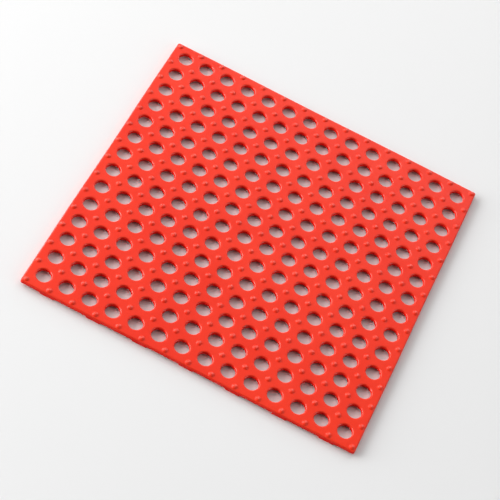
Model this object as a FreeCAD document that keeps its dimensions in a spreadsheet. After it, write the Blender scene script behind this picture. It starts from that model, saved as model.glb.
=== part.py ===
import FreeCAD, Part
import os

import Sketcher

# A square moulded rubber drainage mat: a thin perforated deck that stands on short round feet.
# The real mat is one moulding. It is modelled here as the regions that do different work, each a
# solid, or a group of like solids, that meets its neighbours face to face:
#   perforated_deck           the sheet with its square lattice of round drain holes
#   field_nubs, edge_nubs     low round nubs on top: between every four holes, and on the border
#   field_feet                round feet under every second nub of the field, like a chessboard
#   front_, right_, back_ and left_edge_feet   the same feet under the border, cut flush with
#                             the mat's side
#
# Frame: millimetres, +Z up, origin on the floor under the mat's centre, front edge towards -Y.
# The nubs stand on the crossings of a square lattice. Its columns and rows are numbered from 0 at
# the front left corner, and a foot stands below each nub whose two numbers add up to an odd one.

DIMENSIONS = [
    ("hole_count", 14, "drain holes along each side of the square, an even number"),
    ("hole_pitch", 41.8, "spacing of the holes, and of the nubs between them"),
    ("hole_diameter", 25.0, "drain hole through the deck"),
    ("edge_margin", 7.4, "from the outermost row of nubs to the mat's side"),
    ("corner_radius", 3.5, "the mat's corners, seen from above"),
    ("deck_thickness", 6.5, "sheet between the holes"),
    ("rim_radius", 2.5, "rounding of the hole rims and of the deck's upper edge"),
    ("nub_diameter", 10.0, "nub where it leaves the deck"),
    ("nub_crown_diameter", 4.8, "nub at its top, before its edge is rounded"),
    ("nub_crown_radius", 3.0, "rounding of the nub's top edge"),
    ("nub_rise", 2.0, "nub above the deck"),
    ("foot_height", 3.5, "drain space under the deck"),
    ("foot_diameter", 29.5, "foot where it meets the deck"),
    ("foot_tip_diameter", 28.5, "foot where it stands on the floor"),
    ("foot_tip_radius", 0.6, "rounding of the foot's lower edge"),
]

# Lengths that several sub-parts share, written for the expression engine.
HALF_LATTICE = "(Sizes.hole_count * Sizes.hole_pitch / 2)"
HALF_SIDE = f"({HALF_LATTICE} + Sizes.edge_margin)"
DECK_TOP = "(Sizes.foot_height + Sizes.deck_thickness)"
FOOT_PITCH = "(2 * Sizes.hole_pitch)"

# The mat's four sides, and how far each is turned from the front one, in degrees about Z.
SIDES = {"front": 0, "right": 90, "back": 180, "left": 270}

# Full turns and quarter turns, in degrees.
ALL_ROUND = 360
QUARTER_TURN = 90


def make_sheet(doc):
    sheet = doc.addObject("Spreadsheet::Sheet", "Sizes")
    for row, (alias, value, meaning) in enumerate(DIMENSIONS, start=1):
        sheet.set(f"A{row}", alias)
        sheet.set(f"B{row}", str(value))
        sheet.setAlias(f"B{row}", alias)
        sheet.set(f"C{row}", meaning)
    doc.recompute()


# ---- Bodies and sketches ------------------------------------------------------------------------


def origin_feature(body, role):
    """One of the body's own origin planes or axes."""
    return next(f for f in body.Origin.OriginFeatures if f.Role == role)


def make_body(doc, name, height, turn=0):
    """A body on the mat's upright axis, turned about it and raised to the height expression."""
    body = doc.addObject("PartDesign::Body", name)
    body.Label = name
    body.AllowCompound = True
    body.Placement = FreeCAD.Placement(FreeCAD.Vector(), FreeCAD.Rotation(turn, 0, 0))
    body.setExpression("Placement.Base.z", height)
    return body


def make_sketch(body, name, plane, x, y):
    """A sketch on the body's XY or XZ plane, moved so that its own origin is at x, y."""
    sketch = body.newObject("Sketcher::SketchObject", name)
    sketch.AttachmentSupport = (origin_feature(body, plane), "")
    sketch.MapMode = "FlatFace"
    sketch.setExpression("AttachmentOffset.Base.x", x)
    if plane == "XY_Plane":
        sketch.setExpression("AttachmentOffset.Base.y", y)
    else:  # the XZ plane's normal points along -Y
        sketch.setExpression("AttachmentOffset.Base.z", f"-({y})")
    return sketch


def constrain(sketch, *constraint):
    return sketch.addConstraint(Sketcher.Constraint(*constraint))


def dimension(sketch, name, expression, *constraint):
    """Adds a named dimension to the sketch and ties it to the sheet."""
    index = constrain(sketch, *constraint)
    sketch.renameConstraint(index, name)
    sketch.setExpression(f"Constraints.{name}", expression)


def closed_outline(sketch, points):
    """Straight lines through the points and back to the first, joined end to end."""
    vectors = [FreeCAD.Vector(x, y, 0) for x, y in points]
    for start, end in zip(vectors, vectors[1:] + vectors[:1]):
        sketch.addGeometry(Part.LineSegment(start, end))
    for line in range(len(points)):
        constrain(sketch, "Coincident", line, 2, (line + 1) % len(points), 1)


# ---- Features -----------------------------------------------------------------------------------


def row_step(body, name, axis, number, spacing):
    """A pattern step: a row of copies along one of the body's axes."""
    step = body.newObject("PartDesign::LinearPattern", name)
    step.Direction = (origin_feature(body, axis), [""])
    step.Mode = "Spacing"
    step.setExpression("Occurrences", number)
    step.setExpression("Offset", spacing)
    return step


def quarter_turn_step(body, name, number):
    """A pattern step: copies at quarter turns about the mat's upright axis."""
    step = body.newObject("PartDesign::PolarPattern", name)
    step.Axis = (origin_feature(body, "Z_Axis"), [""])
    step.Mode = "Spacing"
    step.Occurrences = number
    step.Offset = QUARTER_TURN
    return step


def repeat(body, name, original, *steps):
    """Copies a feature by each step in turn."""
    array = body.newObject("PartDesign::MultiTransform", name)
    array.Originals = [original]
    array.Transformations = list(steps)
    body.Tip = array
    return array


def round_edges(doc, body, name, radius, wanted):
    """Rounds the edges of the body so far whose bounding box passes the test."""
    doc.recompute()
    base = body.Tip
    numbers = [n for n, edge in enumerate(base.Shape.Edges, start=1) if wanted(edge.BoundBox)]
    rounding = body.newObject("PartDesign::Fillet", name)
    rounding.Base = (base, [f"Edge{n}" for n in numbers])
    rounding.setExpression("Radius", radius)
    body.Tip = rounding


def lies_at(height):
    """A test for edges that lie flat at this height above the body's origin."""
    near = 1e-5
    return lambda box: abs(box.ZMin - height) < near and abs(box.ZMax - height) < near


def is_upright(box):
    return box.XLength + box.YLength < box.ZLength


# ---- Sub-parts ----------------------------------------------------------------------------------


def make_deck(doc):
    """The sheet: a square plate with its drain holes, soft at every upper edge."""
    body = make_body(doc, "perforated_deck", "Sizes.foot_height")

    outline = make_sketch(body, "mat_outline", "XY_Plane", "0 mm", "0 mm")
    closed_outline(outline, [(-1, -1), (1, -1), (1, 1), (-1, 1)])
    for line, level in enumerate(("Horizontal", "Vertical", "Horizontal", "Vertical")):
        constrain(outline, level, line)
    constrain(outline, "Symmetric", 0, 1, 2, 1, -1, 1)
    dimension(outline, "width", f"2 * {HALF_SIDE}", "DistanceX", 0, 1, 0, 2, 1)
    dimension(outline, "depth", f"2 * {HALF_SIDE}", "DistanceY", 1, 1, 1, 2, 1)
    plate = body.newObject("PartDesign::Pad", "rubber_plate")
    plate.Profile = outline
    plate.setExpression("Length", "Sizes.deck_thickness")
    body.Tip = plate
    round_edges(doc, body, "mat_corners", "Sizes.corner_radius", is_upright)

    first = f"Sizes.hole_pitch / 2 - {HALF_LATTICE}"
    circle = make_sketch(body, "first_hole_circle", "XY_Plane", first, first)
    circle.addGeometry(Part.Circle(FreeCAD.Vector(), FreeCAD.Vector(0, 0, 1), 1))
    constrain(circle, "Coincident", 0, 3, -1, 1)
    dimension(circle, "bore", "Sizes.hole_diameter", "Diameter", 0, 1)
    hole = body.newObject("PartDesign::Pocket", "first_hole")
    hole.Profile = circle
    hole.Type = "ThroughAll"
    hole.Reversed = True
    body.Tip = hole
    repeat(
        body,
        "drain_holes",
        hole,
        row_step(body, "holes_across", "X_Axis", "Sizes.hole_count", "Sizes.hole_pitch"),
        row_step(body, "holes_along", "Y_Axis", "Sizes.hole_count", "Sizes.hole_pitch"),
    )
    upper = lies_at(doc.Sizes.deck_thickness)
    round_edges(doc, body, "soft_upper_edges", "Sizes.rim_radius", upper)
    return body


def make_stub(body, name, x, y, low, high, rise):
    """A short round stub that stands at x, y: its diameters below and above, and its height."""
    profile = make_sketch(body, f"{name}_profile", "XZ_Plane", x, y)
    closed_outline(profile, [(0, 0), (2, 0), (2, 1), (0, 1)])
    bottom, flank, top, axis, origin = 0, 1, 2, 3, -1
    constrain(profile, "Coincident", bottom, 1, origin, 1)
    constrain(profile, "Horizontal", bottom)
    constrain(profile, "Horizontal", top)
    constrain(profile, "Vertical", axis)
    dimension(profile, "half_low", f"{low} / 2", "DistanceX", bottom, 1, bottom, 2, 1)
    dimension(profile, "half_high", f"{high} / 2", "DistanceX", top, 2, top, 1, 1)
    dimension(profile, "rise", rise, "DistanceY", flank, 1, flank, 2, 1)
    stub = body.newObject("PartDesign::Revolution", name)
    stub.Profile = profile
    stub.ReferenceAxis = (profile, ["V_Axis"])
    stub.Angle = ALL_ROUND
    body.Tip = stub
    return stub


def make_nub(body, x, y):
    """One nub, which narrows upwards."""
    base, crown, rise = "Sizes.nub_diameter", "Sizes.nub_crown_diameter", "Sizes.nub_rise"
    return make_stub(body, "nub", x, y, base, crown, rise)


def make_foot(body, x, y):
    """One foot, which narrows downwards."""
    tip, root, rise = "Sizes.foot_tip_diameter", "Sizes.foot_diameter", "Sizes.foot_height"
    return make_stub(body, "foot", x, y, tip, root, rise)


def make_field_nubs(doc):
    """The nubs between the holes, one at every inner crossing of the lattice."""
    body = make_body(doc, "field_nubs", DECK_TOP)
    first = f"Sizes.hole_pitch - {HALF_LATTICE}"
    number = "Sizes.hole_count - 1"
    repeat(
        body,
        "nubs_in_the_field",
        make_nub(body, first, first),
        row_step(body, "nubs_across", "X_Axis", number, "Sizes.hole_pitch"),
        row_step(body, "nubs_along", "Y_Axis", number, "Sizes.hole_pitch"),
    )
    round_edges(doc, body, "soft_crowns", "Sizes.nub_crown_radius", lies_at(doc.Sizes.nub_rise))
    return body


def make_edge_nubs(doc):
    """The nubs of the border: each side's row runs from one corner to just before the next."""
    body = make_body(doc, "edge_nubs", DECK_TOP)
    first = f"-{HALF_LATTICE}"
    repeat(
        body,
        "nubs_round_the_border",
        make_nub(body, first, first),
        row_step(body, "nubs_on_a_side", "X_Axis", "Sizes.hole_count", "Sizes.hole_pitch"),
        quarter_turn_step(body, "four_sides", len(SIDES)),
    )
    round_edges(doc, body, "soft_crowns", "Sizes.nub_crown_radius", lies_at(doc.Sizes.nub_rise))
    return body


def make_field_feet(doc):
    """The feet away from the border: two sets of rows, one a quarter turn from the other."""
    body = make_body(doc, "field_feet", "0 mm")
    x = f"Sizes.hole_pitch - {HALF_LATTICE}"
    y = f"{FOOT_PITCH} - {HALF_LATTICE}"
    repeat(
        body,
        "feet_in_the_field",
        make_foot(body, x, y),
        row_step(body, "feet_across", "X_Axis", "Sizes.hole_count / 2", FOOT_PITCH),
        row_step(body, "feet_along", "Y_Axis", "Sizes.hole_count / 2 - 1", FOOT_PITCH),
        quarter_turn_step(body, "both_sets", 2),
    )
    round_edges(doc, body, "soft_soles", "Sizes.foot_tip_radius", lies_at(0))
    return body


def make_edge_feet(doc, side, turn):
    """One side's feet, made along the front edge, trimmed flush there, and turned to their side."""
    body = make_body(doc, f"{side}_edge_feet", "0 mm", turn)
    foot = make_foot(body, f"Sizes.hole_pitch - {HALF_LATTICE}", f"-{HALF_LATTICE}")
    row = row_step(body, "feet_on_the_side", "X_Axis", "Sizes.hole_count / 2", FOOT_PITCH)
    repeat(body, "feet_along_the_edge", foot, row)

    # What is trimmed: a strip outside the mat's side, as long as the mat and a foot wide.
    strip = make_sketch(body, "strip_outside", "XY_Plane", "0 mm", f"-{HALF_SIDE}")
    closed_outline(strip, [(-2, -1), (2, -1), (2, 0), (-2, 0)])
    outer, end, inner, other_end, origin = 0, 1, 2, 3, -1
    constrain(strip, "Horizontal", outer)
    constrain(strip, "Horizontal", inner)
    constrain(strip, "Vertical", end)
    constrain(strip, "Vertical", other_end)
    constrain(strip, "Symmetric", inner, 1, inner, 2, origin, 1)
    dimension(strip, "length", f"2 * {HALF_SIDE}", "DistanceX", inner, 2, inner, 1, 1)
    dimension(strip, "width", "Sizes.foot_diameter", "DistanceY", end, 1, end, 2, 1)
    trim = body.newObject("PartDesign::Pocket", "flush_with_the_side")
    trim.Profile = strip
    trim.Type = "ThroughAll"
    trim.Reversed = True
    body.Tip = trim
    round_edges(doc, body, "soft_soles", "Sizes.foot_tip_radius", lies_at(0))
    return body


# ---- Build, check and write ---------------------------------------------------------------------


def check(doc, bodies):
    """Stops if any feature failed or any sub-part's shape is missing or faulty."""
    for thing in doc.Objects:
        failed = {"Invalid", "Error"} & set(thing.State)
        if failed:
            raise RuntimeError(f"{thing.Label}: {', '.join(failed)}")
    for body in bodies:
        if body.Shape.isNull() or not body.Shape.isValid():
            raise RuntimeError(f"{body.Label}: its shape is missing or faulty")


def main():
    doc = FreeCAD.newDocument("drainage_mat")
    make_sheet(doc)
    bodies = [make_deck(doc), make_field_nubs(doc), make_edge_nubs(doc), make_field_feet(doc)]
    bodies += [make_edge_feet(doc, side, turn) for side, turn in SIDES.items()]
    doc.recompute()
    check(doc, bodies)

    os.makedirs("parts", exist_ok=True)
    for body in bodies:
        body.Shape.exportStep(f"parts/{body.Label}.step")
        box = body.Shape.BoundBox
        print(
            f"{body.Label}: {len(body.Shape.Solids)} solids, {body.Shape.Volume / 1000:.1f} cm3,",
            f"x {box.XMin:.1f} to {box.XMax:.1f}, y {box.YMin:.1f} to {box.YMax:.1f},",
            f"z {box.ZMin:.1f} to {box.ZMax:.1f}",
        )


main()
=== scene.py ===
import math

import bmesh
import bpy
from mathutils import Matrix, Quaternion, Vector


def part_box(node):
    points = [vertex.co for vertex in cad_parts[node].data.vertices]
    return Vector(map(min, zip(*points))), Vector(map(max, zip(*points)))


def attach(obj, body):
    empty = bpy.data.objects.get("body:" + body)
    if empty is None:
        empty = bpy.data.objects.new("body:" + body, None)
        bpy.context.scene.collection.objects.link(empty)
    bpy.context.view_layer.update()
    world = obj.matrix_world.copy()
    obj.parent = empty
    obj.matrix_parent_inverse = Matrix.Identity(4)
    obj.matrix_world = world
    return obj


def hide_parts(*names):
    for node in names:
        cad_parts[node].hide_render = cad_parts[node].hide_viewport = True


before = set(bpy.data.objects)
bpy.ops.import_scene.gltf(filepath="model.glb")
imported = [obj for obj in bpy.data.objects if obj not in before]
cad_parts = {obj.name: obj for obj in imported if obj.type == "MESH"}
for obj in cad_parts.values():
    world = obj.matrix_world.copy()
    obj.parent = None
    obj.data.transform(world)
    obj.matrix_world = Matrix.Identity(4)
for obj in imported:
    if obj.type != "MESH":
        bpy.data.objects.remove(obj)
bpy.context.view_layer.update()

MM = 0.001

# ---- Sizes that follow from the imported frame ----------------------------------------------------

HOLES = 14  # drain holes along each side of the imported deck

deck_low, deck_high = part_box("perforated_deck")
field_nubs_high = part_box("field_nubs")[1]
edge_nubs_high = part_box("edge_nubs")[1]
field_feet_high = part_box("field_feet")[1]

HALF_SIDE = deck_high.x
DECK_TOP = deck_high.z
DECK_BOTTOM = deck_low.z
PITCH = edge_nubs_high.x - field_nubs_high.x
HALF_LATTICE = HOLES / 2 * PITCH
NUB_RADIUS = edge_nubs_high.x - HALF_LATTICE
NUB_RISE = edge_nubs_high.z - DECK_TOP
FOOT_RADIUS = field_feet_high.x - (HALF_LATTICE - PITCH)
FLUSH_DISTANCE = HALF_SIDE - HALF_LATTICE  # from an edge foot's axis to the mat's side

# ---- Details of the moulding --------------------------------------------------------------------

HOLE_RADIUS = 12.5 * MM
RIM_RADIUS = 2.5 * MM  # upper edge of the holes and of the mat
LIP_RADIUS = 0.3 * MM  # lower edge of the same
CORNER_RADIUS = 3.5 * MM
NUB_SKIRT = 0.9 * MM  # hollow fillet where a nub leaves the deck
FOOT_SKIRT = 0.8 * MM  # the same where a foot leaves the underside
FOOT_DRAFT = 0.5 * MM  # a foot narrows by this much down to its sole
FOOT_BLUNTING = 0.03  # share by which the flat face of an edge foot stops short of its corners
SOLE_RADIUS = 0.6 * MM
ROOT = 0.3 * MM  # how far nubs and feet reach into the deck
DECK_SAG = 0.35 * MM  # how far the deck gives where it is at its lowest
DECK_WAVER = 0.7 * MM  # how far its sides wander inwards

# Segments of a whole circle.
HOLE_SEGMENTS = 40
NUB_SEGMENTS = 24
FOOT_SEGMENTS = 40

# Steps from one end of a rounding to the other.
CORNER_STEPS = 6
RIM_STEPS = 5
LIP_STEPS = 2
DOME_STEPS = 5
NUB_SKIRT_STEPS = 3
FOOT_SKIRT_STEPS = 3
SOLE_STEPS = 3

# ---- Points and faces ---------------------------------------------------------------------------

MERGE = 0.001 * MM


class Moulding:
    """Points and faces gathered for one piece. Points at the same place are shared."""

    def __init__(self):
        self.points = []
        self.wear_and_highlight = []
        self.faces = []
        self.known = {}

    def point(self, x, y, z, wear_and_highlight=0.0):
        key = (round(x / MERGE), round(y / MERGE), round(z / MERGE))
        if key not in self.known:
            self.known[key] = len(self.points)
            self.points.append((x, y, z))
            self.wear_and_highlight.append(wear_and_highlight)
        return self.known[key]

    def ring(self, outline, z, wear_and_highlight=0.0):
        return [self.point(x, y, z, wear_and_highlight) for x, y in outline]

    def join(self, one, other):
        """A strip of faces between two rings of as many points."""
        for i, corner in enumerate(one):
            after = (i + 1) % len(one)
            corners = (corner, one[after], other[after], other[i])
            distinct = list(dict.fromkeys(corners))
            if len(distinct) > 2:
                self.faces.append(distinct)

    def stack(self, rings):
        """Strips between each ring and the next."""
        for one, other in zip(rings, rings[1:]):
            self.join(one, other)


def arc_steps(steps):
    """Cosine and sine at equal steps over a quarter turn."""
    angles = [math.pi / 2 * step / steps for step in range(steps + 1)]
    return [(math.cos(angle), math.sin(angle)) for angle in angles]


def circle(x, y, radius, segments):
    turns = [2 * math.pi * step / segments for step in range(segments)]
    return [(x + radius * math.cos(turn), y + radius * math.sin(turn)) for turn in turns]


def quarter_turned(x, y, quarters):
    """This place turned about the origin. One quarter turn takes the front to the right."""
    for _ in range(quarters):
        x, y = -y, x
    return x, y


def lattice(number):
    """Where a lattice line runs. Nubs and feet are at whole numbers, holes halfway between."""
    return PITCH * (number - HOLES / 2)


# ---- Piece making -------------------------------------------------------------------------------


def ripple(phase):
    """A wave between 0 and 1."""
    return 0.5 + 0.5 * math.sin(phase)


def settle(x, y, z):
    """Soft rubber is never quite flat or straight: the deck sags a little and its sides waver.

    The lengths and starts of the waves are free choices.
    """
    u, v = x / HALF_SIDE, y / HALF_SIDE
    sag = (ripple(5.1 * u + 1.3) + ripple(4.3 * v - 2.2 * u + 0.4)) / 2
    x -= DECK_WAVER * ripple(6.3 * v + 0.9) * u
    y -= DECK_WAVER * ripple(5.4 * u + 2.1) * v
    z -= DECK_SAG * sag * max(z, 0) / DECK_TOP
    return x, y, z


def make_piece(name, moulding, material, *nodes):
    mesh = bpy.data.meshes.new(name)
    mesh.from_pydata([settle(*point) for point in moulding.points], [], moulding.faces)
    # Wear and a painted highlight, greatest on the rims and the nub tops.
    wear_and_highlight = mesh.attributes.new("wear_and_highlight", "FLOAT", "POINT")
    wear_and_highlight.data.foreach_set("value", moulding.wear_and_highlight)
    shape = bmesh.new()
    shape.from_mesh(mesh)
    bmesh.ops.recalc_face_normals(shape, faces=shape.faces)
    shape.to_mesh(mesh)
    shape.free()
    mesh.polygons.foreach_set("use_smooth", [True] * len(mesh.polygons))
    mesh.materials.append(material)
    piece = bpy.data.objects.new(name, mesh)
    bpy.context.scene.collection.objects.link(piece)
    flat_shading = piece.modifiers.new("flats stay flat", "WEIGHTED_NORMAL")
    flat_shading.weight = 100  # the largest faces decide
    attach(piece, "root")
    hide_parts(*nodes)


# ---- The deck -----------------------------------------------------------------------------------


def edge_profile():
    """From the deck's top to its underside: (how far into the rubber from the wall, height, wear and
    painted highlight).

    The wear and the painted highlight are greatest halfway round the upper edge.
    """
    top = [
        (RIM_RADIUS * (1 - s), DECK_TOP - RIM_RADIUS * (1 - c), s * c)
        for c, s in arc_steps(RIM_STEPS)
    ]
    bottom = [
        (LIP_RADIUS * (1 - c), DECK_BOTTOM + LIP_RADIUS * (1 - s), 0.0)
        for c, s in arc_steps(LIP_STEPS)
    ]
    return top + bottom


def cell_outline(x, y):
    """The square of one hole's cell, in line with the hole's own segments."""
    points = []
    for cos, sin in circle(0, 0, 1, HOLE_SEGMENTS):
        reach = PITCH / 2 / max(abs(cos), abs(sin))
        points.append((x + reach * cos, y + reach * sin))
    return points


def mat_outline(inset):
    """The mat's outline moved inwards, and for each point the lattice point that it faces."""
    eighth = HOLE_SEGMENTS // 8
    slopes = [math.tan(math.pi / 4 * step / eighth) for step in range(-eighth, eighth)]
    stations = [
        lattice(cell + 0.5) + PITCH / 2 * slope for cell in range(HOLES) for slope in slopes
    ] + [HALF_LATTICE]
    side = [((s, inset - HALF_SIDE), (s, -HALF_LATTICE)) for s in stations]
    middle = HALF_SIDE - CORNER_RADIUS
    radius = CORNER_RADIUS - inset
    lattice_corner = (HALF_LATTICE, -HALF_LATTICE)
    corner = [
        ((middle + radius * s, -middle - radius * c), lattice_corner)
        for c, s in arc_steps(CORNER_STEPS)
    ]
    loop = [
        (quarter_turned(*place, quarters), quarter_turned(*faced, quarters))
        for quarters in range(4)
        for place, faced in side + corner
    ]
    return [place for place, _ in loop], [faced for _, faced in loop]


def make_deck(material):
    deck = Moulding()
    profile = edge_profile()
    for column in range(HOLES):
        for row in range(HOLES):
            x, y = lattice(column + 0.5), lattice(row + 0.5)
            cell = cell_outline(x, y)
            wall = [
                deck.ring(circle(x, y, HOLE_RADIUS + inset, HOLE_SEGMENTS), z, wear_and_highlight)
                for inset, z, wear_and_highlight in profile
            ]
            deck.stack([deck.ring(cell, DECK_TOP), *wall, deck.ring(cell, DECK_BOTTOM)])
    faced = mat_outline(0)[1]
    side = [deck.ring(mat_outline(inset)[0], z, wear_and_highlight) for inset, z, wear_and_highlight in profile]
    deck.stack([deck.ring(faced, DECK_TOP), *side, deck.ring(faced, DECK_BOTTOM)])
    make_piece("deck_skin", deck, material, "perforated_deck")


# ---- The nubs -----------------------------------------------------------------------------------


def nub_profile():
    """A low dome that runs out into the deck: (radius, height above the deck, wear and painted
    highlight).
    """
    ball = (NUB_RADIUS**2 + NUB_RISE**2) / (2 * NUB_RISE)
    ball_height = NUB_RISE - ball
    skirt_reach = math.sqrt((ball + NUB_SKIRT) ** 2 - (NUB_SKIRT - ball_height) ** 2)
    slope = math.atan2(skirt_reach, NUB_SKIRT - ball_height)
    dome = [slope * step / DOME_STEPS for step in range(DOME_STEPS + 1)]
    skirt = [slope * step / NUB_SKIRT_STEPS for step in reversed(range(NUB_SKIRT_STEPS))]
    wear_and_highlight_levels = [max(1 - step / (DOME_STEPS - 1), 0.0) for step in range(DOME_STEPS + 1)]
    profile = [
        (ball * math.sin(a), ball_height + ball * math.cos(a), wear_and_highlight) for a, wear_and_highlight in zip(dome, wear_and_highlight_levels)
    ]
    profile += [
        (skirt_reach - NUB_SKIRT * math.sin(a), NUB_SKIRT * (1 - math.cos(a)), 0.0) for a in skirt
    ]
    return profile + [(skirt_reach, -ROOT, 0.0), (0.0, -ROOT, 0.0)]


def add_nub(nubs, x, y):
    nubs.stack(
        [
            nubs.ring(circle(x, y, radius, NUB_SEGMENTS), DECK_TOP + rise, wear_and_highlight)
            for radius, rise, wear_and_highlight in nub_profile()
        ]
    )


def make_nubs(material):
    field, border = Moulding(), Moulding()
    for column in range(HOLES + 1):
        for row in range(HOLES + 1):
            on_border = column in (0, HOLES) or row in (0, HOLES)
            add_nub(border if on_border else field, lattice(column), lattice(row))
    make_piece("field_nub_domes", field, material, "field_nubs")
    make_piece("edge_nub_domes", border, material, "edge_nubs")


# ---- The feet -----------------------------------------------------------------------------------


def foot_profile():
    """From the root down to the sole: (inset of the round wall, inset of the flat face, height)."""
    skirt = [
        (-FOOT_SKIRT * (1 - s), 0.0, DECK_BOTTOM - FOOT_SKIRT * (1 - c))
        for c, s in arc_steps(FOOT_SKIRT_STEPS)
    ]
    sole = [
        (FOOT_DRAFT + SOLE_RADIUS * (1 - c), SOLE_RADIUS * (1 - c), SOLE_RADIUS * (1 - s))
        for c, s in arc_steps(SOLE_STEPS)
    ]
    return [(-FOOT_SKIRT, 0.0, DECK_BOTTOM + ROOT), *skirt, *sole]


def flush_outline(radius, distance):
    """A circle cut off by a straight side towards -Y, at this distance from its middle."""
    half_side = math.sqrt(radius**2 - distance**2)
    opening = math.atan2(half_side, distance)
    straight, round_part = FOOT_SEGMENTS // 4, FOOT_SEGMENTS * 3 // 4
    points = []
    for step in range(straight + 1):
        points.append(((1 - FOOT_BLUNTING) * half_side * (2 * step / straight - 1), -distance))
    start = opening * (1 + FOOT_BLUNTING)
    sweep = 2 * (math.pi - start)
    for step in range(round_part + 1):
        turn = start + sweep * step / round_part
        points.append((radius * math.sin(turn), -radius * math.cos(turn)))
    return points


def add_foot(feet, x, y, side):
    """side is None in the field, or the number of quarter turns from the front side."""
    rings = []
    for round_inset, flat_inset, z in foot_profile():
        if side is None:
            outline = circle(0, 0, FOOT_RADIUS - round_inset, FOOT_SEGMENTS)
        else:
            outline = flush_outline(FOOT_RADIUS - round_inset, FLUSH_DISTANCE - flat_inset)
            outline = [quarter_turned(*place, side) for place in outline]
        rings.append(feet.ring([(x + dx, y + dy) for dx, dy in outline], z))
    top = feet.point(x, y, DECK_BOTTOM + ROOT)
    sole = feet.point(x, y, 0.0)
    feet.stack([[top] * len(rings[0]), *rings, [sole] * len(rings[0])])


def side_at(column, row):
    """The number of quarter turns from the front to the side that this foot is on, if any."""
    on_side = [row == 0, column == HOLES, row == HOLES, column == 0]
    return on_side.index(True) if any(on_side) else None


def make_feet(material):
    """Feet under every second lattice point, like the dark squares of a chessboard."""
    names = {None: "field", 0: "front_edge", 1: "right_edge", 2: "back_edge", 3: "left_edge"}
    groups = {side: Moulding() for side in names}
    for column in range(HOLES + 1):
        for row in range(HOLES + 1):
            if (column + row) % 2 == 1:
                side = side_at(column, row)
                add_foot(groups[side], lattice(column), lattice(row), side)
    for side, feet in groups.items():
        make_piece(f"{names[side]}_foot_pads", feet, material, f"{names[side]}_feet")


# ---- Red rubber ---------------------------------------------------------------------------------

FRESH_RED = (0.84, 0.026, 0.006, 1)
FADED_RED = (0.88, 0.033, 0.008, 1)
SPECK_RED = (0.70, 0.020, 0.010, 1)
# Partly scuffing, partly a painted highlight on the nub tops and the rims.
SCUFF_AND_HIGHLIGHT_RED = (0.86, 0.09, 0.06, 1)
# Painted shade for faces that stand upright.
UPRIGHT_SHADE_RED = (0.76, 0.014, 0.007, 1)


def node(tree, kind, **sockets):
    made = tree.nodes.new(kind)
    for name, value in sockets.items():
        made.inputs[name.replace("_", " ")].default_value = value
    return made


def noise(tree, scale, detail=2.0):
    """A noise pattern fixed to the mat, with this many blobs per metre."""
    made = node(tree, "ShaderNodeTexNoise", Scale=scale, Detail=detail)
    tree.links.new(tree.nodes["place"].outputs["Object"], made.inputs["Vector"])
    return made.outputs["Fac"]


def remap(tree, value, span, results):
    """The first and last of the results at the ends of the span, and straight in between."""
    (low, high), (first, last) = span, results
    made = node(tree, "ShaderNodeMapRange", From_Min=low, From_Max=high, To_Min=first, To_Max=last)
    tree.links.new(value, made.inputs["Value"])
    return made.outputs["Result"]


def mix(tree, factor, one, other):
    """Two colours mixed. Each is a tuple, or the output of another node."""
    made = tree.nodes.new("ShaderNodeMix")
    made.data_type = "RGBA"
    tree.links.new(factor, made.inputs["Factor"])
    for socket, colour in ((made.inputs["A"], one), (made.inputs["B"], other)):
        if isinstance(colour, tuple):
            socket.default_value = colour
        else:
            tree.links.new(colour, socket)
    return made.outputs["Result"]


def multiply(tree, one, other):
    made = tree.nodes.new("ShaderNodeMath")
    made.operation = "MULTIPLY"
    tree.links.new(one, made.inputs[0])
    tree.links.new(other, made.inputs[1])
    return made.outputs["Value"]


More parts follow.
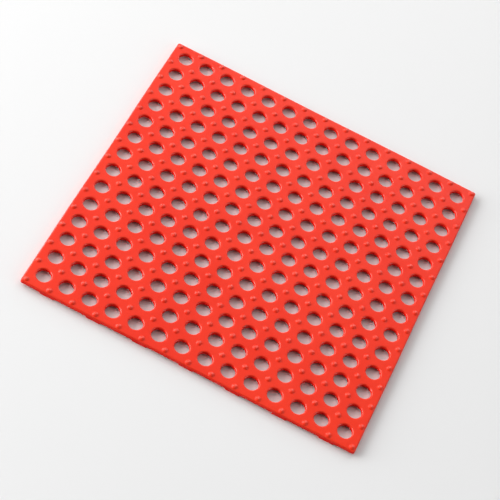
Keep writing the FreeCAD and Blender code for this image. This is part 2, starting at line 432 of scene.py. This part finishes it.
def make_red_rubber():
    material = bpy.data.materials.new("red_rubber")
    material.use_nodes = True
    tree = material.node_tree
    shader = tree.nodes["Principled BSDF"]
    place = tree.nodes.new("ShaderNodeTexCoord")
    place.name = "place"
    attribute = tree.nodes.new("ShaderNodeAttribute")
    attribute.attribute_name = "wear_and_highlight"
    wear_and_highlight = attribute.outputs["Fac"]

    clouds = remap(tree, noise(tree, 9.0, 3.0), (0.35, 0.65), (0.0, 1.0))
    red = mix(tree, clouds, FRESH_RED, FADED_RED)
    specks = remap(tree, noise(tree, 420.0), (0.55, 0.75), (0.0, 0.35))
    red = mix(tree, specks, red, SPECK_RED)
    # Rims and nub tops are painted a lighter red: partly scuffing, partly a painted highlight.
    patches = remap(tree, noise(tree, 700.0), (0.4, 0.7), (0.1, 0.6))
    red = mix(tree, multiply(tree, wear_and_highlight, patches), red, SCUFF_AND_HIGHLIGHT_RED)
    normal = tree.nodes.new("ShaderNodeSeparateXYZ")
    tree.links.new(place.outputs["Normal"], normal.inputs["Vector"])
    upward = normal.outputs["Z"]
    # Faces that stand upright are painted a darker red: painted shade on the hole walls, the mat's
    # sides and the feet.
    upright_shade = remap(tree, upward, (0.1, 0.6), (1.0, 0.0))
    red = mix(tree, upright_shade, red, UPRIGHT_SHADE_RED)
    tree.links.new(red, shader.inputs["Base Color"])

    # Shoes polish the nubs and the rims.
    roughness = remap(tree, noise(tree, 16.0, 4.0), (0.3, 0.7), (0.28, 0.36))
    roughness = multiply(tree, roughness, remap(tree, wear_and_highlight, (0.0, 1.0), (1.0, 0.7)))
    tree.links.new(roughness, shader.inputs["Roughness"])

    # Upright faces are almost without sheen, and what shoes polish has the most.
    sheen = remap(tree, upward, (0.1, 0.8), (0.08, 0.29))
    sheen = multiply(tree, sheen, remap(tree, wear_and_highlight, (0.0, 1.0), (1.0, 2.4)))
    tree.links.new(sheen, shader.inputs["Specular IOR Level"])

    grain = node(tree, "ShaderNodeBump", Strength=0.25, Distance=0.12 * MM)
    tree.links.new(noise(tree, 900.0, 3.0), grain.inputs["Height"])
    waves = node(tree, "ShaderNodeBump", Strength=0.35, Distance=0.5 * MM)
    tree.links.new(noise(tree, 60.0), waves.inputs["Height"])
    tree.links.new(waves.outputs["Normal"], grain.inputs["Normal"])
    tree.links.new(grain.outputs["Normal"], shader.inputs["Normal"])
    return material


# ---- Studio -------------------------------------------------------------------------------------

FLOOR_REACH = 6.0
FLOOR_COLOUR = (0.80, 0.80, 0.80, 1)
FLOOR_ROUGHNESS = 0.8

SOFTBOX_DISTANCE = 6.0
SOFTBOX_SIZE = 4.0
# Name, azimuth and elevation in degrees, and the share of the light that falls on the mat's top.
SOFTBOXES = [
    ("key_low_left", -72, 16, 0.38),
    ("key_back_left", -115, 27, 0.27),
    ("top_back_left", -130, 58, 0.06),
    ("fill_right", 92, 18, 0.11),
    ("fill_back", 175, 28, 0.14),
]
SKY_TOWARDS = (-0.4, 0.9, 0.5)  # the sky is brightest this way
SKY_SPAN = (0.0, 1.0)  # cosines of the angle to it, between which the sky brightens
SKY_STRENGTHS = (0.04, 0.60)

CAMERA_LENS = 122.0
CAMERA_AZIMUTH = 5.5
CAMERA_ELEVATION = 53.8
CAMERA_ROLL = 22.7
CAMERA_DISTANCE = 2.84
CAMERA_AIM = (-0.0025, -0.0405, DECK_TOP)


def towards(azimuth, elevation):
    """A unit vector away from the mat, for angles in degrees. Azimuth 0 is in front, 90 at +X."""
    turn, tilt = math.radians(azimuth), math.radians(elevation)
    return Vector(
        (math.sin(turn) * math.cos(tilt), -math.cos(turn) * math.cos(tilt), math.sin(tilt))
    )


def make_floor():
    mesh = bpy.data.meshes.new("floor")
    corners = [quarter_turned(-FLOOR_REACH, -FLOOR_REACH, quarters) for quarters in range(4)]
    mesh.from_pydata([(x, y, 0) for x, y in corners], [], [(0, 1, 2, 3)])
    material = bpy.data.materials.new("pale_floor")
    material.use_nodes = True
    shader = material.node_tree.nodes["Principled BSDF"]
    shader.inputs["Base Color"].default_value = FLOOR_COLOUR
    shader.inputs["Roughness"].default_value = FLOOR_ROUGHNESS
    mesh.materials.append(material)
    floor = bpy.data.objects.new("floor", mesh)
    bpy.context.scene.collection.objects.link(floor)


def add_softbox(name, azimuth, elevation, share):
    """A square panel that faces the mat. With a share of 1, white that faces up shows as white."""
    outward = towards(azimuth, elevation)
    data = bpy.data.lights.new(name, "AREA")
    data.shape = "SQUARE"
    data.size = SOFTBOX_SIZE
    data.energy = share * (math.pi * SOFTBOX_DISTANCE) ** 2 / math.sin(math.radians(elevation))
    light = bpy.data.objects.new(name, data)
    light.location = SOFTBOX_DISTANCE * outward
    light.rotation_euler = (-outward).to_track_quat("-Z", "Y").to_euler()
    light.visible_camera = False
    bpy.context.scene.collection.objects.link(light)


def make_light():
    """Softboxes, and a faint sky that is brighter on one side."""
    world = bpy.data.worlds.new("studio")
    world.use_nodes = True
    tree = world.node_tree
    direction = tree.nodes.new("ShaderNodeTexCoord")
    cosine = tree.nodes.new("ShaderNodeVectorMath")
    cosine.operation = "DOT_PRODUCT"
    cosine.inputs[1].default_value = Vector(SKY_TOWARDS).normalized()
    tree.links.new(direction.outputs["Generated"], cosine.inputs[0])
    strength = remap(tree, cosine.outputs["Value"], SKY_SPAN, SKY_STRENGTHS)
    background = tree.nodes["Background"]
    background.inputs["Color"].default_value = (1, 1, 1, 1)
    tree.links.new(strength, background.inputs["Strength"])
    bpy.context.scene.world = world
    for softbox in SOFTBOXES:
        add_softbox(*softbox)


def make_camera():
    data = bpy.data.cameras.new("camera")
    data.lens = CAMERA_LENS
    outward = towards(CAMERA_AZIMUTH, CAMERA_ELEVATION)
    camera = bpy.data.objects.new("camera", data)
    camera.location = Vector(CAMERA_AIM) + CAMERA_DISTANCE * outward
    level = (-outward).to_track_quat("-Z", "Y")
    roll = Quaternion((0, 0, 1), math.radians(CAMERA_ROLL))
    camera.rotation_euler = (level @ roll).to_euler()
    bpy.context.scene.collection.objects.link(camera)
    bpy.context.scene.camera = camera


bpy.context.scene.view_settings.view_transform = "Standard"
rubber = make_red_rubber()
make_deck(rubber)
make_nubs(rubber)
make_feet(rubber)
make_floor()
make_light()
make_camera()
